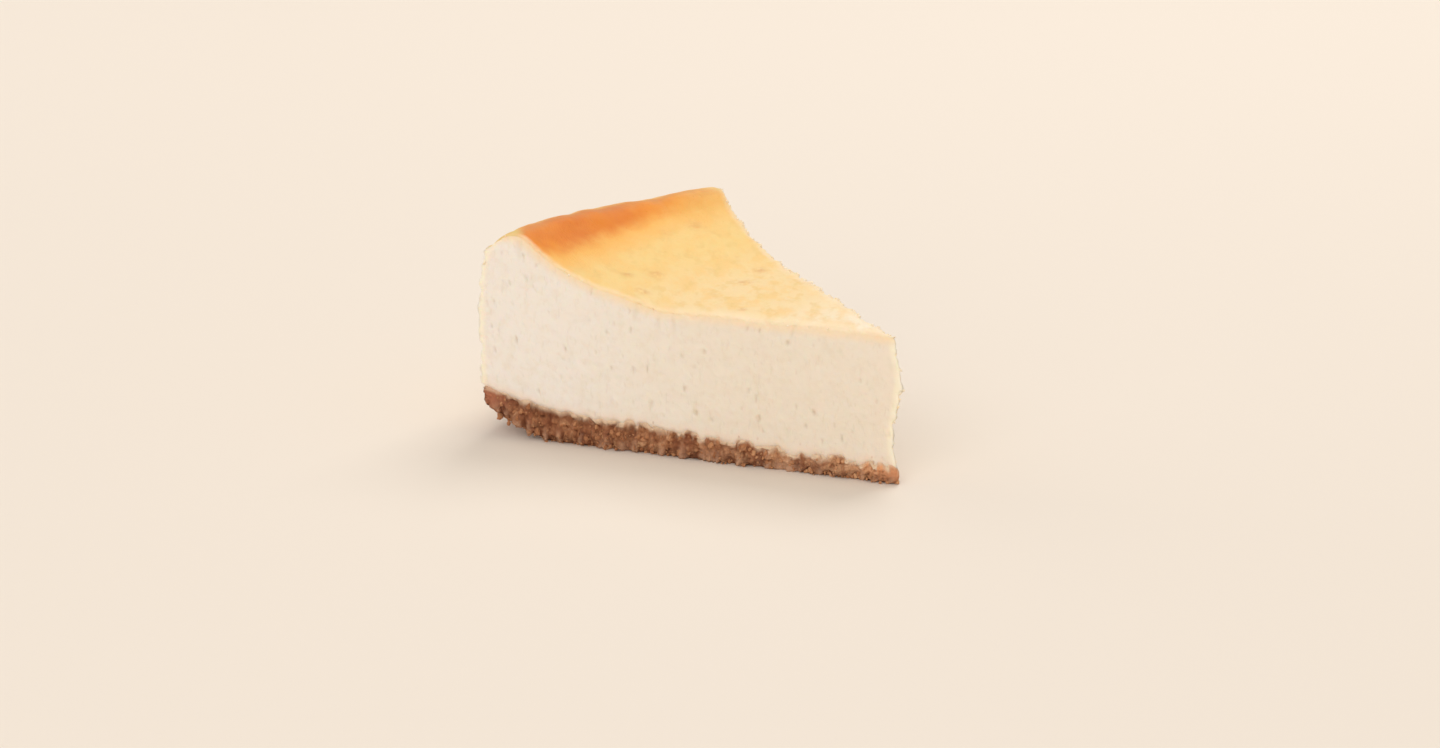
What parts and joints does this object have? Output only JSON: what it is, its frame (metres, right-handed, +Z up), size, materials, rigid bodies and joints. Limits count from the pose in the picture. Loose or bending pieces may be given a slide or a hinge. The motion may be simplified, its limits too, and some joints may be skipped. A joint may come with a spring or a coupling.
{
  "type": "cheesecake slice",
  "caption": "Wedge-shaped slice of baked cheesecake: smooth pale filling with a browned top that rises to a lip at the outer edge, on a thin base of pressed crumbs.",
  "frame": {"origin": "middle of the slice's box, on the surface that it stands on", "axes": "+X from the outside of the cake to the tip of the slice, +Y from one cut face to the other, +Z up"},
  "size_m": [0.1052, 0.0793, 0.0499],
  "materials": {
    "baked_crumbs": "rough pressed biscuit crumbs, light tan to dark brown",
    "set_cheese": "soft cream cut faces, golden baked skin browned along the outer lip"
  },
  "bodies": {
    "root": {"crumb_base": "baked_crumbs", "cheese_filling": "set_cheese"}
  },
  "joints": []
}
